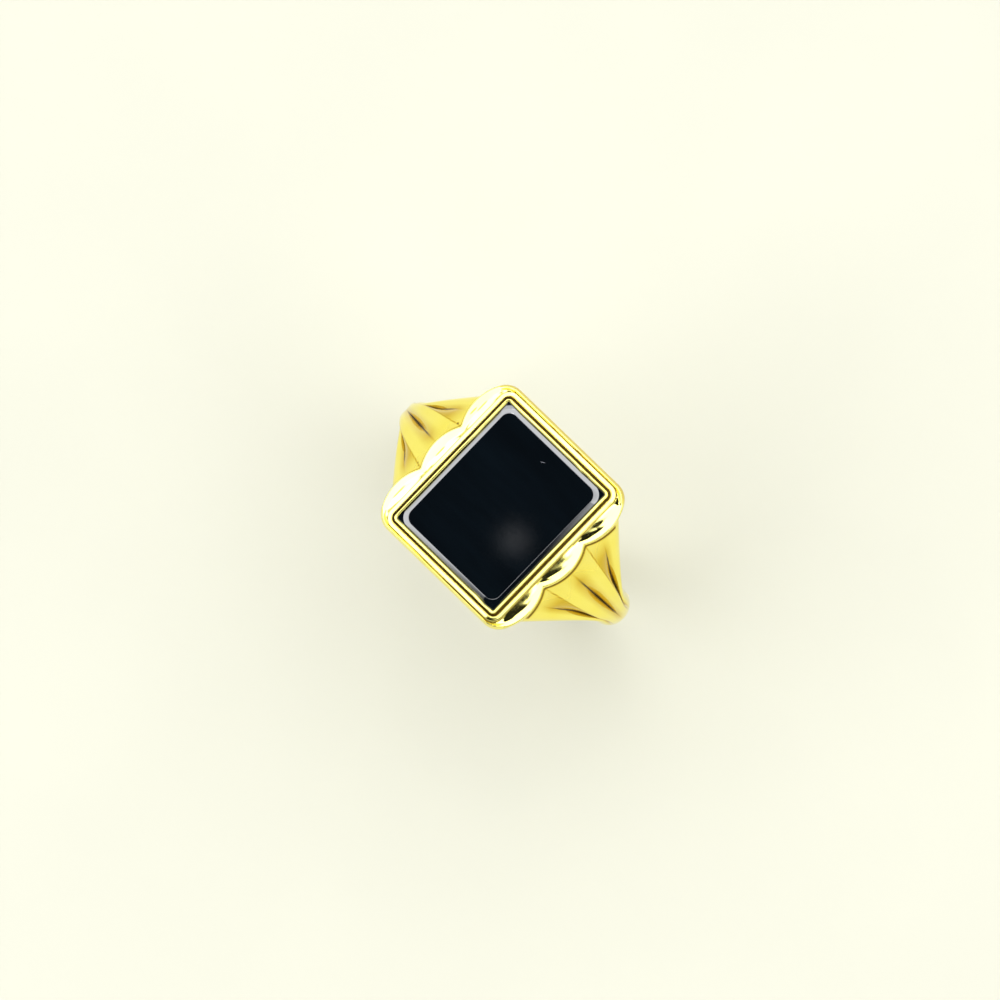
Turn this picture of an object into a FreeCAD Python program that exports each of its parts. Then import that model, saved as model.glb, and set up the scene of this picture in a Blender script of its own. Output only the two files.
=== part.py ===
"""A gentleman's signet ring: a black onyx slab in a stepped, scalloped rectangular head on fluted shoulders.

The row frame has its origin on the finger axis, under the middle of the head. X runs across the finger, Y
runs along it and Z goes up through the head. Millimetres and degrees. An angle round the ring is measured
about Y, from the head (0) by way of a shoulder to the back of the shank (180).

The ring is bench made: a D-section shank, two fluted shoulders and a windowed gallery are soldered end to
end, and the scalloped plate, the step frame and the collet that holds the stone are stacked on the gallery.
"""

import FreeCAD
import Part
import math
import os
import Sketcher
from FreeCAD import Vector

OUTPUT = "parts"

DIMENSIONS = [
    ("bore_radius", 9.9, "finger bore, 19.8 mm across"),
    ("shank_width", 3.0, "plain shank, along the finger"),
    ("shank_thickness", 1.5, "plain shank, crest to bore"),
    ("shank_side", 0.55, "height of the shank's flat side wall above the bore"),
    ("shank_edge_round", 0.2, "comfort rounding of the shank's inner edges"),
    ("shank_arc", 170.0, "angle that the plain shank covers"),
    ("seam", 0.05, "thickness of a solder seam"),
    ("gallery_length", 12.0, "gallery block, across the finger"),
    ("gallery_width", 13.5, "gallery block's top, along the finger"),
    ("gallery_foot_width", 11.5, "gallery blank's underside, along the finger"),
    ("gallery_bottom", 7.0, "gallery blank's underside before the bore is cut"),
    ("gallery_top", 11.7, "seat of the scalloped plate"),
    ("gallery_edge_round", 0.35, "rounding where the gallery's sides meet the bore"),
    ("plate_thickness", 0.85, "scalloped plate"),
    ("plate_half_width", 7.06, "scalloped plate, centre to its straight moulded edge"),
    ("plate_edge_round", 0.3, "rounding of the scalloped plate's upper edge"),
    ("corner_across", 6.3, "where the corner arc meets the outer lobe, across the finger"),
    ("corner_along", 6.3, "where the corner arc meets the outer lobe, along the finger"),
    ("corner_radius", 1.55, "corner arc, tangent to the moulded edge and to the outer lobe"),
    ("notch_across", 6.3, "notch between lobes, across the finger"),
    ("notch_along", 2.16, "notch between lobes, along the finger"),
    ("lobe_rise", 0.6, "middle lobe's crest beyond the notches"),
    ("notch_round", 0.12, "rounding at the foot of the notches"),
    ("step_length", 11.34, "step frame, across the finger"),
    ("step_width", 13.34, "step frame, along the finger"),
    ("step_thickness", 0.42, "step frame"),
    ("step_corner", 0.8, "step frame's outer corner radius"),
    ("step_edge_round", 0.12, "rounding of the step frame's upper edge"),
    ("collet_length", 10.6, "collet, outside, across the finger"),
    ("collet_width", 12.6, "collet, outside, along the finger"),
    ("collet_bottom", 10.7, "collet's foot in the gallery's pocket"),
    ("collet_top", 13.38, "crest of the collet's lip"),
    ("collet_round", 0.16, "rounding of the lip's crest"),
    ("collet_corner", 0.5, "collet's outer corner radius"),
    ("lip_overlap", 0.12, "how far the lip reaches over the stone"),
    ("lip_underside", 13.18, "underside of the lip"),
    ("fit_gap", 0.01, "clearance round the stone and round the collet"),
    ("stone_length", 10.0, "stone, across the finger"),
    ("stone_width", 12.0, "stone, along the finger"),
    ("stone_bottom", 11.1, "back of the stone"),
    ("stone_thickness", 2.2, "stone, back to table"),
    ("bevel_width", 0.45, "bevel round the stone's table, in plan"),
    ("bevel_depth", 0.2, "bevel round the stone's table, in height"),
    ("bearer_ledge", 0.8, "width of the ledge under the stone"),
    ("bearer_thickness", 0.35, "bearer"),
    ("cement_thickness", 0.05, "cement between bearer and stone"),
    ("shoulder_crest", 13.15, "radius of the shoulder's crest where it meets the head"),
    ("shoulder_half_width", 6.35, "shoulder's half width just outside the head"),
    ("shoulder_narrow_angle", 72.0, "angle at which the shoulder is down to the shank's width"),
    ("shoulder_head_angle", 29.0, "angle at which the shoulder leaves the head"),
    ("shoulder_fall", 1.3, "power of the crest's fall from the head to the shank"),
    ("shoulder_taper", 1.6, "power of the shoulder's narrowing"),
    ("undercut", 0.08, "how much narrower the shoulder is at the bore, as a share"),
    ("flute_depth", 0.85, "deepest side flute"),
    ("centre_depth", 0.8, "deepest centre groove"),
    ("flute_start", 29.0, "angle at which the flutes begin"),
    ("flute_deepest", 52.0, "angle at which the flutes are deepest"),
    ("flute_end", 86.0, "angle at which the flutes have run out"),
]


def new_sheet(document):
    """Writes the driving dimensions into a spreadsheet, one row each."""
    sheet = document.addObject("Spreadsheet::Sheet", "Dimensions")
    for row, (alias, value, meaning) in enumerate(DIMENSIONS, start=1):
        sheet.set(f"A{row}", meaning)
        sheet.set(f"B{row}", str(value))
        sheet.setAlias(f"B{row}", alias)
    document.recompute()
    return sheet


document = FreeCAD.newDocument("SignetRing")
sheet = new_sheet(document)


def cell(alias):
    """The value of a driving dimension, for the shapes that are set directly."""
    return float(getattr(sheet, alias))


def bound(words):
    """An expression in which every alias refers to the spreadsheet."""
    aliases = {alias for alias, _, _ in DIMENSIONS}
    return " ".join(f"Dimensions.{word}" if word in aliases else word for word in words.split())


# PartDesign helpers


def new_body(label):
    body = document.addObject("PartDesign::Body", label)
    body.Label = label
    return body


def origin_feature(body, role):
    return next(feature for feature in body.Origin.OriginFeatures if feature.Role == role)


def new_sketch(body, name, height=None, plane="XY_Plane"):
    """A sketch on one of the body's own origin planes, lifted by an expression."""
    sketch = body.newObject("Sketcher::SketchObject", name)
    sketch.AttachmentSupport = [(origin_feature(body, plane), "")]
    sketch.MapMode = "FlatFace"
    if height:
        sketch.setExpression("AttachmentOffset.Base.z", bound(height))
    return sketch


def constrain(sketch, words, *geometry):
    """Adds a dimensional constraint and binds its value to the spreadsheet."""
    index = sketch.addConstraint(Sketcher.Constraint(*geometry))
    sketch.setExpression(f"Constraints[{index}]", bound(words))


def centred_rectangle(sketch, length, width):
    """A rectangle about the origin, its length along the sketch's X."""
    start_x, start_y = 4.0, 5.0
    corners = [
        Vector(start_x, start_y, 0),
        Vector(-start_x, start_y, 0),
        Vector(-start_x, -start_y, 0),
        Vector(start_x, -start_y, 0),
    ]
    for side in range(4):
        sketch.addGeometry(Part.LineSegment(corners[side], corners[(side + 1) % 4]), False)
    for side in range(4):
        sketch.addConstraint(Sketcher.Constraint("Coincident", side, 2, (side + 1) % 4, 1))
        direction = "Horizontal" if side % 2 == 0 else "Vertical"
        sketch.addConstraint(Sketcher.Constraint(direction, side))
    sketch.addConstraint(Sketcher.Constraint("Symmetric", 0, 1, 1, 2, -1, 1))
    constrain(sketch, length, "DistanceX", 0, 2, 0, 1, 2 * start_x)
    constrain(sketch, width, "DistanceY", 1, 2, 1, 1, 2 * start_y)


def trapezium(sketch, foot_width, roof_width, foot_height, roof_height):
    """A trapezium about the sketch's Y axis, its foot and its roof at given heights."""
    corners = [Vector(-5, 7, 0), Vector(5, 7, 0), Vector(6, 11, 0), Vector(-6, 11, 0)]
    for side in range(4):
        sketch.addGeometry(Part.LineSegment(corners[side], corners[(side + 1) % 4]), False)
    for side in range(4):
        sketch.addConstraint(Sketcher.Constraint("Coincident", side, 2, (side + 1) % 4, 1))
    for side in (0, 2):
        sketch.addConstraint(Sketcher.Constraint("Symmetric", side, 1, side, 2, -2))
    constrain(sketch, foot_width, "DistanceX", 0, 1, 0, 2, 10)
    constrain(sketch, roof_width, "DistanceX", 2, 2, 2, 1, 12)
    constrain(sketch, foot_height, "DistanceY", -1, 1, 0, 1, 7)
    constrain(sketch, roof_height, "DistanceY", -1, 1, 2, 1, 11)


def rectangle_sketch(body, name, height, length, width):
    sketch = new_sketch(body, name, height)
    centred_rectangle(sketch, length, width)
    return sketch


def pad(body, sketch, length, both_ways=False):
    feature = body.newObject("PartDesign::Pad", f"{sketch.Name}_pad")
    feature.Profile = sketch
    feature.Midplane = both_ways
    feature.setExpression("Length", bound(length))
    sketch.Visibility = False
    document.recompute()
    return feature


def pocket(body, sketch, length=None, upward=False, both_ways=False):
    """Cuts a pocket, through everything where no length is given, and proves that it cut."""
    before = body.Shape.Volume
    feature = body.newObject("PartDesign::Pocket", f"{sketch.Name}_pocket")
    feature.Profile = sketch
    if length:
        feature.setExpression("Length", bound(length))
    else:
        feature.Type = "ThroughAll"
    feature.Reversed = upward
    feature.Midplane = both_ways
    document.recompute()
    if body.Shape.Volume >= before:
        raise RuntimeError(f"{feature.Name} cut nothing")
    return feature


def edges_where(feature, test):
    """Names of the feature's edges whose ends and midpoint all pass the test."""
    names = []
    for index, edge in enumerate(feature.Shape.Edges, start=1):
        middle = edge.valueAt((edge.FirstParameter + edge.LastParameter) / 2)
        points = [vertex.Point for vertex in edge.Vertexes] + [middle]
        if all(test(point) for point in points):
            names.append(f"Edge{index}")
    if not names:
        raise RuntimeError(f"{feature.Name} has no such edge")
    return names


def fillet(body, base, radius, test):
    feature = body.newObject("PartDesign::Fillet", f"{base.Name}_round")
    feature.Base = (base, edges_where(base, test))
    feature.setExpression("Radius", bound(radius))
    document.recompute()
    return feature


def near(value, target, tolerance=0.01):
    return abs(value - target) < tolerance


# The head, from the gallery up


def build_gallery():
    """The windowed block between the shoulders: its top seats the plate and its pocket seats the collet."""
    body = new_body("gallery")
    section = new_sketch(body, "gallery_section", plane="YZ_Plane")
    trapezium(section, "gallery_foot_width", "gallery_width", "gallery_bottom", "gallery_top")
    pad(body, section, "gallery_length", both_ways=True)
    seat = rectangle_sketch(
        body, "collet_seat", "gallery_top", "collet_length + 2 * fit_gap", "collet_width + 2 * fit_gap"
    )
    pocket(body, seat, "gallery_top - collet_bottom")
    window = rectangle_sketch(
        body,
        "back_window",
        "gallery_top",
        "stone_length - 2 * bearer_ledge",
        "stone_width - 2 * bearer_ledge",
    )
    pocket(body, window)
    bore = new_sketch(body, "gallery_bore", plane="XZ_Plane")
    bore.addGeometry(Part.Circle(Vector(0, 0, 0), Vector(0, 0, 1), 9.0), False)
    bore.addConstraint(Sketcher.Constraint("Coincident", 0, 3, -1, 1))
    constrain(bore, "bore_radius", "Radius", 0, 9.0)
    cut = pocket(body, bore, both_ways=True)
    bore_radius = cell("bore_radius")
    side = cell("gallery_foot_width") / 2
    fillet(
        body,
        cut,
        "gallery_edge_round",
        lambda p: abs(p.y) > side and near(math.hypot(p.x, p.z), bore_radius),
    )
    return body


def scalloped_outline(sketch):
    """The plate's outline: straight moulded edges along X, and three lobes at each end, over the shoulders.

    The straight edges' ends and the arcs' crowns are only starting places; the constraints settle them.
    """
    notch = Vector(cell("notch_across"), cell("notch_along"), 0)
    corner = Vector(cell("corner_across"), cell("corner_along"), 0)
    turn = Vector(4.97, cell("plate_half_width"), 0)
    corner_middle = Vector(5.74, 6.85, 0)
    outer_crest = Vector(6.86, 4.3, 0)

    def placed(point, sign_x, sign_y):
        return Vector(sign_x * point.x, sign_y * point.y, 0)

    def quarter(sign_x, sign_y):
        """One quadrant's corner arc and outer lobe."""
        corner_arc = Part.Arc(*[placed(p, sign_x, sign_y) for p in (turn, corner_middle, corner)])
        lobe = Part.Arc(*[placed(p, sign_x, sign_y) for p in (corner, outer_crest, notch)])
        return sketch.addGeometry(corner_arc, False), sketch.addGeometry(lobe, False)

    quadrants = {(x, y): quarter(x, y) for x in (1, -1) for y in (1, -1)}
    crest = Vector(notch.x + cell("lobe_rise"), 0, 0)
    middles = {}
    for sign in (1, -1):
        points = [placed(p, sign, 1) for p in (notch, crest)] + [placed(notch, sign, -1)]
        middles[sign] = sketch.addGeometry(Part.Arc(*points), False)
    straights = {}
    for sign in (1, -1):
        straights[sign] = sketch.addGeometry(
            Part.LineSegment(placed(turn, 1, sign), placed(turn, -1, sign)), False
        )

    def end_near(geometry, point):
        """Which end of a curve, 1 or 2, lies on a point: an arc may have been turned round."""
        return min((1, 2), key=lambda end: sketch.getPoint(geometry, end).distanceToPoint(point))

    def join(one, other, point):
        ends = (one, end_near(one, point), other, end_near(other, point))
        sketch.addConstraint(Sketcher.Constraint("Coincident", *ends))

    def join_smoothly(one, other, point):
        ends = (one, end_near(one, point), other, end_near(other, point))
        sketch.addConstraint(Sketcher.Constraint("Tangent", *ends))

    for (x, y), (corner_arc, lobe) in quadrants.items():
        join_smoothly(straights[y], corner_arc, placed(turn, x, y))
        join_smoothly(corner_arc, lobe, placed(corner, x, y))
        join(lobe, middles[x], placed(notch, x, y))
    corner_arc, lobe = quadrants[1, 1]
    constrain(sketch, "plate_half_width", "DistanceY", -1, 1, straights[1], 1, turn.y)
    constrain(sketch, "plate_half_width", "DistanceY", straights[-1], 1, -1, 1, turn.y)
    anchors = [
        (corner_arc, corner, "corner_across", "corner_along"),
        (lobe, notch, "notch_across", "notch_along"),
    ]
    for geometry, point, across, along in anchors:
        end = end_near(geometry, point)
        constrain(sketch, across, "DistanceX", -1, 1, geometry, end, point.x)
        constrain(sketch, along, "DistanceY", -1, 1, geometry, end, point.y)
        mirror_across_x = quadrants[1, -1][0 if geometry == corner_arc else 1]
        mirror_across_y = quadrants[-1, 1][0 if geometry == corner_arc else 1]
        opposite = quadrants[-1, -1][0 if geometry == corner_arc else 1]
        below = placed(point, 1, -1)
        left = placed(point, -1, 1)
        far = placed(point, -1, -1)
        pairs = [
            (geometry, point, mirror_across_x, below, -1),
            (geometry, point, mirror_across_y, left, -2),
            (mirror_across_y, left, opposite, far, -1),
        ]
        for one, one_point, other, other_point, axis in pairs:
            ends = (one, end_near(one, one_point), other, end_near(other, other_point), axis)
            sketch.addConstraint(Sketcher.Constraint("Symmetric", *ends))
    constrain(sketch, "corner_radius", "Radius", quadrants[1, 1][0], cell("corner_radius"))
    for middle in middles.values():
        radius = "( notch_along * notch_along + lobe_rise * lobe_rise ) / ( 2 * lobe_rise )"
        constrain(sketch, radius, "Radius", middle, 5.0)


def build_plate():
    """The scalloped plate, which laps over the shoulders in three lobes at each end."""
    body = new_body("scalloped_plate")
    outline = new_sketch(body, "plate_outline", "gallery_top")
    scalloped_outline(outline)
    slab = pad(body, outline, "plate_thickness")
    across, along = cell("notch_across"), cell("notch_along")
    notched = fillet(
        body, slab, "notch_round", lambda p: near(abs(p.x), across) and near(abs(p.y), along)
    )
    top = cell("gallery_top") + cell("plate_thickness")
    fillet(body, notched, "plate_edge_round", lambda p: near(p.z, top))
    window = rectangle_sketch(
        body,
        "plate_window",
        "gallery_top + plate_thickness",
        "collet_length + 2 * fit_gap",
        "collet_width + 2 * fit_gap",
    )
    pocket(body, window)
    return body


def build_step_frame():
    """The narrow frame that steps up from the plate to the collet."""
    body = new_body("step_frame")
    base = "gallery_top + plate_thickness"
    outline = rectangle_sketch(body, "step_outline", base, "step_length", "step_width")
    slab = pad(body, outline, "step_thickness")
    half_length = cell("step_length") / 2
    half_width = cell("step_width") / 2
    corners = fillet(
        body, slab, "step_corner", lambda p: near(abs(p.x), half_length) and near(abs(p.y), half_width)
    )
    top = cell("gallery_top") + cell("plate_thickness") + cell("step_thickness")
    fillet(body, corners, "step_edge_round", lambda p: near(p.z, top))
    window = rectangle_sketch(
        body,
        "step_window",
        f"{base} + step_thickness",
        "collet_length + 2 * fit_gap",
        "collet_width + 2 * fit_gap",
    )
    pocket(body, window)
    return body


def build_collet():
    """The wall that holds the stone, its lip rubbed over the stone's bevel."""
    body = new_body("bezel_collet")
    outline = rectangle_sketch(body, "collet_outline", "collet_bottom", "collet_length", "collet_width")
    block = pad(body, outline, "collet_top - collet_bottom")
    half_length = cell("collet_length") / 2
    half_width = cell("collet_width") / 2
    middle = (cell("collet_bottom") + cell("collet_top")) / 2
    corners = fillet(
        body,
        block,
        "collet_corner",
        lambda p: near(abs(p.x), half_length) and near(abs(p.y), half_width) and p.z < middle + 2,
    )
    top = cell("collet_top")
    fillet(body, corners, "collet_round", lambda p: near(p.z, top))
    cavity = rectangle_sketch(
        body,
        "stone_cavity",
        "collet_bottom",
        "stone_length + 2 * fit_gap",
        "stone_width + 2 * fit_gap",
    )
    pocket(body, cavity, "lip_underside - collet_bottom", upward=True)
    opening = rectangle_sketch(
        body,
        "lip_opening",
        "collet_top",
        "stone_length - 2 * lip_overlap",
        "stone_width - 2 * lip_overlap",
    )
    pocket(body, opening)
    return body


def build_frame_in_collet(label, bottom, thickness):
    """A thin frame inside the collet, under the edge of the stone."""
    body = new_body(label)
    outline = rectangle_sketch(body, f"{label}_outline", bottom, "stone_length", "stone_width")
    pad(body, outline, thickness)
    window = rectangle_sketch(
        body,
        f"{label}_window",
        f"{bottom} + {thickness}",
        "stone_length - 2 * bearer_ledge",
        "stone_width - 2 * bearer_ledge",
    )
    pocket(body, window)
    return body


def build_stone():
    """The onyx slab: a flat table inside a shallow bevel."""
    body = new_body("onyx_stone")
    outline = rectangle_sketch(body, "stone_outline", "stone_bottom", "stone_length", "stone_width")
    slab = pad(body, outline, "stone_thickness")
    top = cell("stone_bottom") + cell("stone_thickness")
    bevel = body.newObject("PartDesign::Chamfer", "stone_bevel")
    bevel.Base = (slab, edges_where(slab, lambda p: near(p.z, top)))
    bevel.ChamferType = "Two distances"
    bevel.setExpression("Size", bound("bevel_width"))
    bevel.setExpression("Size2", bound("bevel_depth"))
    document.recompute()
    table = max(body.Shape.Faces, key=lambda face: face.CenterOfMass.z)
    if not near(table.BoundBox.XLength, cell("stone_length") - 2 * cell("bevel_width"), 0.02):
        bevel.FlipDirection = True
    document.recompute()
    return body


# The shank, the shoulders and their seams


def d_section(sketch):
    """The shank's section at the back of the ring: flat on the finger, domed outside."""
    half = cell("shank_width") / 2
    inner = -cell("bore_radius")
    side = inner - cell("shank_side")
    crest = inner - cell("shank_thickness")
    inner_line = sketch.addGeometry(Part.LineSegment(Vector(-half, inner, 0), Vector(half, inner, 0)), False)
    right = sketch.addGeometry(Part.LineSegment(Vector(half, inner, 0), Vector(half, side, 0)), False)
    dome = sketch.addGeometry(
        Part.Arc(Vector(half, side, 0), Vector(0, crest, 0), Vector(-half, side, 0)), False
    )
    left = sketch.addGeometry(Part.LineSegment(Vector(-half, side, 0), Vector(-half, inner, 0)), False)
    dome_at_right = 1 if sketch.getPoint(dome, 1).x > 0 else 2
    for geometry in (
        (inner_line, 2, right, 1),
        (right, 2, dome, dome_at_right),
        (dome, 3 - dome_at_right, left, 1),
        (left, 2, inner_line, 1),
    ):
        sketch.addConstraint(Sketcher.Constraint("Coincident", *geometry))
    sketch.addConstraint(Sketcher.Constraint("Vertical", right))
    sketch.addConstraint(Sketcher.Constraint("Vertical", left))
    sketch.addConstraint(Sketcher.Constraint("Symmetric", inner_line, 1, inner_line, 2, -2))
    sketch.addConstraint(Sketcher.Constraint("Equal", right, left))
    constrain(sketch, "shank_width", "DistanceX", inner_line, 1, inner_line, 2, 2 * half)
    constrain(sketch, "bore_radius", "DistanceY", inner_line, 1, -1, 1, -inner)
    constrain(sketch, "shank_side", "DistanceY", right, 2, right, 1, inner - side)
    rise = "( shank_thickness - shank_side )"
    radius = f"( shank_width * shank_width / 4 + {rise} * {rise} ) / ( 2 * {rise} )"
    constrain(sketch, radius, "Radius", dome, 1.66)


def build_shank():
    """The plain part of the hoop, centred on the back of the ring."""
    body = new_body("shank")
    section = new_sketch(body, "shank_section", plane="YZ_Plane")
    d_section(section)
    hoop = body.newObject("PartDesign::Revolution", "shank_hoop")
    hoop.Profile = section
    hoop.ReferenceAxis = (origin_feature(body, "Y_Axis"), [""])
    hoop.Midplane = True
    hoop.setExpression("Angle", bound("shank_arc"))
    document.recompute()
    half = cell("shank_width") / 2
    bore_radius = cell("bore_radius")
    fillet(
        body,
        hoop,
        "shank_edge_round",
        lambda p: near(abs(p.y), half) and near(math.hypot(p.x, p.z), bore_radius),
    )
    return body


def blend(angle, start, end, power=1.0):
    """0 up to the start angle, 1 from the end angle on, and a power curve between."""
    return min(max((angle - start) / (end - start), 0.0), 1.0) ** power


def joint_angle():
    """The angle at which the shoulder meets the shank's solder seam."""
    seam_angle = math.degrees(cell("seam") / cell("bore_radius"))
    return 180.0 - cell("shank_arc") / 2 - seam_angle


def half_width_at(angle):
    """Half of the shoulder's width: a fan at the head, the shank's width past the narrow angle."""
    shank_half = cell("shank_width") / 2
    narrow = cell("shoulder_narrow_angle")
    share = max((narrow - angle) / (narrow - cell("shoulder_head_angle")), 0.0)
    return shank_half + (cell("shoulder_half_width") - shank_half) * share ** cell("shoulder_taper")


def crest_radius_at(angle):
    """Radius of the shoulder's crest, which falls from the head to the shank."""
    shank_crest = cell("bore_radius") + cell("shank_thickness")
    end = 180.0 - cell("shank_arc") / 2
    share = max((end - angle) / (end - cell("shoulder_head_angle")), 0.0)
    return shank_crest + (cell("shoulder_crest") - shank_crest) * share ** cell("shoulder_fall")


def flute_share_at(angle):
    """0 where the flutes begin and run out, 1 where they are deepest."""
    if angle < cell("flute_deepest"):
        share = blend(angle, cell("flute_start"), cell("flute_deepest"))
    else:
        share = 1.0 - blend(angle, cell("flute_deepest"), cell("flute_end"))
    return share * share * (3.0 - 2.0 * share)


def section_rule(angle):
    """The outer surface's radius for a share of the half width, and the shares of the arris and the flute."""
    crest = crest_radius_at(angle)
    to_shank = blend(angle, 35.0, joint_angle())
    side = cell("bore_radius") + cell("shank_side") * (crest - cell("bore_radius")) / cell("shank_thickness")
    inner_power = 4.0 - 2.0 * to_shank
    outer_power = 0.5 + 0.26 * to_shank
    arris = 0.34 + 0.20 * blend(angle, cell("shoulder_head_angle"), 60.0, 1.4)
    flute = 0.58 + 0.04 * blend(angle, cell("shoulder_head_angle"), 60.0, 2.0)
    flute_depth = cell("flute_depth") * flute_share_at(angle)
    centre_depth = cell("centre_depth") * flute_share_at(angle)

    def radius(share):
        envelope = side + (crest - side) * max(1.0 - share**inner_power, 0.0) ** outer_power
        if share < arris:
            return envelope - centre_depth * (1.0 - share / arris) ** 2.2
        if share < flute:
            return envelope - flute_depth * (share - arris) / (flute - arris)
        return envelope - flute_depth * ((1.0 - share) / (1.0 - flute)) ** 2.2

    return radius, arris, flute


def shoulder_section(angle):
    """The closed wire of the shoulder's section at one angle; the bore trims its foot later."""
    radius, arris, flute = section_rule(angle)
    half = half_width_at(angle)
    shank_half = cell("shank_width") / 2
    bore_half = shank_half + (half - shank_half) * (1.0 - cell("undercut"))
    turn = math.radians(angle)
    foot = cell("bore_radius") - 0.6

    def at(along, distance):
        return Vector(distance * math.sin(turn), along, distance * math.cos(turn))

    def strip(start, end, side, steps=6):
        """A smooth curve over one facet, with its points closer together towards the end."""
        shares = [end - (end - start) * (1.0 - step / steps) ** 1.6 for step in range(steps + 1)]
        curve = Part.BSplineCurve()
        curve.interpolate([at(side * half * share, radius(share)) for share in shares])
        return curve.toShape()

    edges = []
    for side in (1, -1):
        facets = [strip(0.0, arris, side), strip(arris, flute, side, 2), strip(flute, 1.0, side)]
        wall = Part.makeLine(at(side * half, radius(1.0)), at(side * bore_half, foot))
        edges += facets + [wall]
    edges.append(Part.makeLine(at(bore_half, foot), at(-bore_half, foot)))
    return Part.Wire(Part.__sortEdges__(edges))


def build_right_shoulder():
    """The fluted shoulder on the +X side, from the gallery to the shank."""
    first, last = 20.0, joint_angle()
    count = 19
    sections = [shoulder_section(first + (last - first) * step / count) for step in range(count + 1)]
    blank = Part.makeLoft(sections, True, False)
    reach = 40.0
    bore = Part.makeCylinder(cell("bore_radius"), reach, Vector(0, -reach / 2, 0), Vector(0, 1, 0))
    outside = Part.makeBox(reach, reach, reach)
    outside.translate(Vector(cell("gallery_length") / 2 + cell("seam"), -reach / 2, -reach / 2))
    below = Part.makeBox(reach, reach, reach)
    below.translate(Vector(-reach / 2, -reach / 2, cell("gallery_top") - reach))
    shape = blank.cut(bore).common(outside).common(below)
    feature = document.addObject("Part::Feature", "shoulder_right")
    feature.Label = "shoulder_right"
    feature.Shape = shape.Solids[0]
    feature.Placement = FreeCAD.Placement()
    return feature


def mirrored(source, label):
    """The same piece on the other side of the finger axis."""
    feature = document.addObject("Part::Mirroring", label)
    feature.Label = label
    feature.Source = source
    feature.Normal = Vector(1, 0, 0)
    feature.Placement = FreeCAD.Placement()
    document.recompute()
    return feature


def both_sides(seam, label):
    """A seam and its mirror image, as one sub-part of two solids."""
    feature = document.addObject("Part::Feature", label)
    feature.Label = label
    feature.Shape = Part.makeCompound([seam, seam.mirror(Vector(0, 0, 0), Vector(1, 0, 0))])
    feature.Placement = FreeCAD.Placement()
    return feature


def build_head_seams(shoulder):
    """The solder between the gallery's ends and the shoulders."""
    plane = cell("gallery_length") / 2 + cell("seam")
    end = next(
        face
        for face in shoulder.Shape.Faces
        if near(face.BoundBox.XMin, plane, 1e-4) and near(face.BoundBox.XMax, plane, 1e-4)
    )
    return both_sides(end.extrude(Vector(-cell("seam"), 0, 0)), "head_solder_seams")


def build_shank_seams(shoulder):
    """The solder between the shoulders and the shank's ends."""
    turn = math.radians(joint_angle())
    direction = Vector(math.cos(turn), 0, -math.sin(turn))
    end = min(shoulder.Shape.Faces, key=lambda face: face.CenterOfMass.z)
    return both_sides(end.extrude(direction * cell("seam")), "shank_solder_seams")


def check(parts):
    """Stops if any object failed, or if a sub-part has no valid solid."""
    for item in document.Objects:
        if "Invalid" in item.State or "Error" in item.State:
            raise RuntimeError(f"{item.Label} failed: {item.State}")
    for part in parts:
        if part.Shape.isNull() or not part.Shape.isValid() or not part.Shape.Solids:
            raise RuntimeError(f"{part.Label} has no valid solid")


def main():
    right = build_right_shoulder()
    parts = [
        build_gallery(),
        build_plate(),
        build_step_frame(),
        build_collet(),
        build_frame_in_collet("stone_bearer", "collet_bottom", "bearer_thickness"),
        build_frame_in_collet("setting_cement", "collet_bottom + bearer_thickness", "cement_thickness"),
        build_stone(),
        build_shank(),
        right,
        mirrored(right, "shoulder_left"),
        build_head_seams(right),
        build_shank_seams(right),
    ]
    document.recompute()
    check(parts)
    os.makedirs(OUTPUT, exist_ok=True)
    for part in parts:
        print(f"{part.Label:20s} solids {len(part.Shape.Solids)} volume {part.Shape.Volume:9.3f}")
        part.Shape.exportStep(os.path.join(OUTPUT, f"{part.Label}.step"))


main()
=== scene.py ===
"""Looks of the signet ring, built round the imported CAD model, in its frame.

Lengths in the geometry code are millimetres in the ring's own frame: X across the finger, Y along it, Z up
through the head. An angle round the ring is measured about Y, from the head (0) by way of a shoulder to the
back (180).
"""

import math

import bmesh
import bpy
from mathutils import Matrix, Vector

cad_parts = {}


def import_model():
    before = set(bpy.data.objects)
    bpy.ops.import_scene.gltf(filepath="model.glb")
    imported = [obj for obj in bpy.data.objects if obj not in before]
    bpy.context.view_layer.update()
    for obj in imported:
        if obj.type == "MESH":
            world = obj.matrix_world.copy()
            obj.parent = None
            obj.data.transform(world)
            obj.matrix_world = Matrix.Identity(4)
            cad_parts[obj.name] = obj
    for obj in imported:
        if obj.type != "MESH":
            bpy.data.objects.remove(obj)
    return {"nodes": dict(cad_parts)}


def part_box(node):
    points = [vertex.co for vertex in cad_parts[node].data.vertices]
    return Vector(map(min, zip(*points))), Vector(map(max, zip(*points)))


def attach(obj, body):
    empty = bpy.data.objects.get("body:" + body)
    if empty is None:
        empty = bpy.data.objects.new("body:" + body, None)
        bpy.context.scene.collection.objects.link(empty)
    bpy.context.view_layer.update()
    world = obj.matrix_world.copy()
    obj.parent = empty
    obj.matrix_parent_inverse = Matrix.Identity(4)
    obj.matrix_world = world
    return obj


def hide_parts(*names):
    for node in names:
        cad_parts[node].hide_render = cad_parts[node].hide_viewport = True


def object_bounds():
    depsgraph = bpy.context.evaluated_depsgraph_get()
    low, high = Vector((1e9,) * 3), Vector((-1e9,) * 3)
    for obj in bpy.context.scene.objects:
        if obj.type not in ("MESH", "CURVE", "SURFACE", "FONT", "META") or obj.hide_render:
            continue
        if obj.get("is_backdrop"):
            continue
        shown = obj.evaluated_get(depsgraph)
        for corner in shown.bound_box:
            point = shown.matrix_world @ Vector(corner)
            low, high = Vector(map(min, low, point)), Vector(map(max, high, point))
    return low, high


MM = 0.001

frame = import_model()
cad_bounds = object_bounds()


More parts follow.
